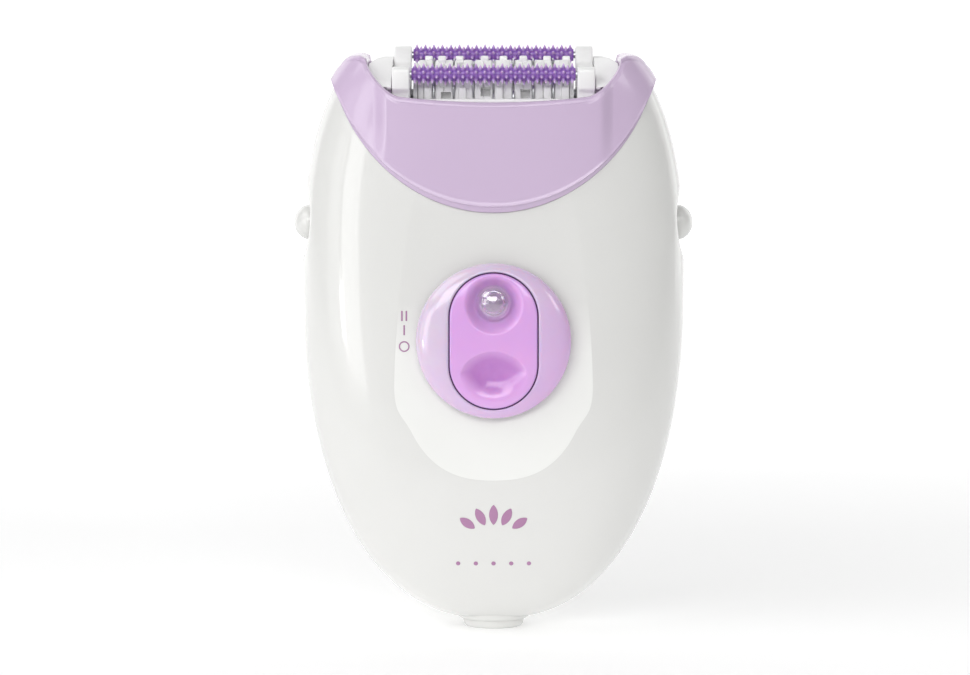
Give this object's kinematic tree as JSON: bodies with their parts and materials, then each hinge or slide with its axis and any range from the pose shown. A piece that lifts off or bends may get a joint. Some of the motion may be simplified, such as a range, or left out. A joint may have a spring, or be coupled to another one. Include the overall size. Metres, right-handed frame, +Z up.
{
  "type": "epilator",
  "caption": "Handheld epilator: egg-shaped two-shell housing, sliding lamp switch, side release buttons and a lift-off head with a tweezer drum between massage rollers.",
  "frame": {"origin": "middle of the footprint, level with the flat face of the power inlet", "axes": "+Z up through the head, -Y out of the front with the switch, +X to the right of the front"},
  "size_m": [0.0772, 0.0428, 0.1138],
  "materials": {
    "pearl_white": "glossy pearl-white moulded plastic",
    "head_white": "satin white moulded plastic",
    "lilac": "glossy lilac moulded plastic",
    "lilac_clear": "glossy translucent lilac plastic",
    "violet": "satin violet plastic",
    "roller_purple": "satin purple plastic",
    "clear_lens": "clear polished plastic",
    "steel": "bright drawn steel",
    "brass": "plain brass",
    "winding_copper": "enamelled copper winding on a laminated core",
    "inner_grey": "matt grey plastic",
    "gear_cream": "matt cream acetal",
    "board_green": "green circuit board",
    "dark_plastic": "matt dark plastic",
    "lead_red": "red wire insulation",
    "lead_blue": "blue wire insulation"
  },
  "bodies": {
    "housing": {"front_shell": "pearl_white", "rear_shell": "pearl_white", "housing_screw_left": "steel", "housing_screw_right": "steel", "chassis": "inner_grey", "gear_axle_lower": "steel", "gear_axle_upper": "steel", "motor_can": "steel", "motor_end_cap": "dark_plastic", "circuit_board": "board_green", "switch_contact_block": "dark_plastic", "capacitor": "lead_blue", "motor_lead_rear": "lead_red", "motor_lead_front": "lead_blue", "inlet_socket": "pearl_white", "inlet_pin_left": "brass", "inlet_pin_right": "brass", "button_spring_left": "steel", "button_spring_right": "steel"},
    "switch": {"switch_disc": "lilac_clear", "switch_insert": "violet", "lamp_lens": "clear_lens", "lamp_led": "clear_lens", "switch_carrier": "inner_grey"},
    "button_left": {"release_button_left": "pearl_white"},
    "button_right": {"release_button_right": "pearl_white"},
    "head": {"head_collar": "lilac", "head_base": "head_white", "roller_holder_left": "head_white", "roller_holder_right": "head_white", "clamp_cam_left": "head_white", "clamp_cam_right": "head_white", "front_roller_axle": "steel", "rear_roller_axle": "steel"},
    "drum": {"drum_axle": "steel", "drum_gear": "gear_cream", "tweezer_disc_1": "head_white", "tweezer_disc_2": "head_white", "tweezer_disc_3": "head_white", "tweezer_disc_4": "head_white", "tweezer_disc_5": "head_white", "tweezer_disc_6": "head_white", "tweezer_disc_7": "head_white", "tweezer_disc_8": "head_white", "tweezer_plate_1": "steel", "tweezer_plate_2": "steel", "tweezer_plate_3": "steel", "tweezer_plate_4": "steel", "tweezer_plate_5": "steel", "tweezer_plate_6": "steel", "tweezer_plate_7": "steel"},
    "front_massage_roller": {"front_roller": "roller_purple"},
    "rear_massage_roller": {"rear_roller": "roller_purple"},
    "motor_rotor": {"motor_shaft": "steel", "motor_armature": "winding_copper", "motor_pinion": "brass"},
    "compound": {"compound_gear": "gear_cream"},
    "coupling": {"coupling_gear": "gear_cream"}
  },
  "joints": [
    {"name": "switch_slide", "type": "slide", "parent": "housing", "child": "switch", "axis": [0, 0.0748, 0.9972], "range_m": [0, 0.006]},
    {"name": "button_left_press", "type": "slide", "parent": "housing", "child": "button_left", "axis": [1, 0, 0], "range_m": [0, 0.0015], "stiffness_N_per_m": 500, "springref_m": -0.001, "deforming": ["button_spring_left"]},
    {"name": "button_right_press", "type": "slide", "parent": "housing", "child": "button_right", "axis": [-1, 0, 0], "range_m": [0, 0.0015], "stiffness_N_per_m": 500, "springref_m": -0.001, "deforming": ["button_spring_right"]},
    {"name": "head_lift", "type": "slide", "parent": "housing", "child": "head", "axis": [0, 0, 1], "range_m": [0, 0.032]},
    {"name": "motor_spin", "type": "hinge", "parent": "housing", "child": "motor_rotor", "pos_m": [0, -0.0002, 0.07345], "axis": [1, 0, 0], "continuous": true},
    {"name": "compound_spin", "type": "hinge", "parent": "housing", "child": "compound", "pos_m": [0, -0.0002, 0.08545], "axis": [1, 0, 0], "continuous": true},
    {"name": "coupling_spin", "type": "hinge", "parent": "housing", "child": "coupling", "pos_m": [0, -0.0002, 0.09525], "axis": [1, 0, 0], "continuous": true},
    {"name": "drum_spin", "type": "hinge", "parent": "head", "child": "drum", "pos_m": [0, -0.0002, 0.10435], "axis": [1, 0, 0], "continuous": true},
    {"name": "front_roller_spin", "type": "hinge", "parent": "head", "child": "front_massage_roller", "pos_m": [0, -0.0096, 0.1087], "axis": [1, 0, 0], "continuous": true},
    {"name": "rear_roller_spin", "type": "hinge", "parent": "head", "child": "rear_massage_roller", "pos_m": [0, 0.007, 0.1118], "axis": [1, 0, 0], "continuous": true}
  ],
  "couplings": [
    {"joint": "compound_spin", "follows": "motor_spin", "ratio": -0.33333},
    {"joint": "coupling_spin", "follows": "motor_spin", "ratio": 0.33333},
    {"joint": "drum_spin", "follows": "motor_spin", "ratio": -0.38889}
  ]
}
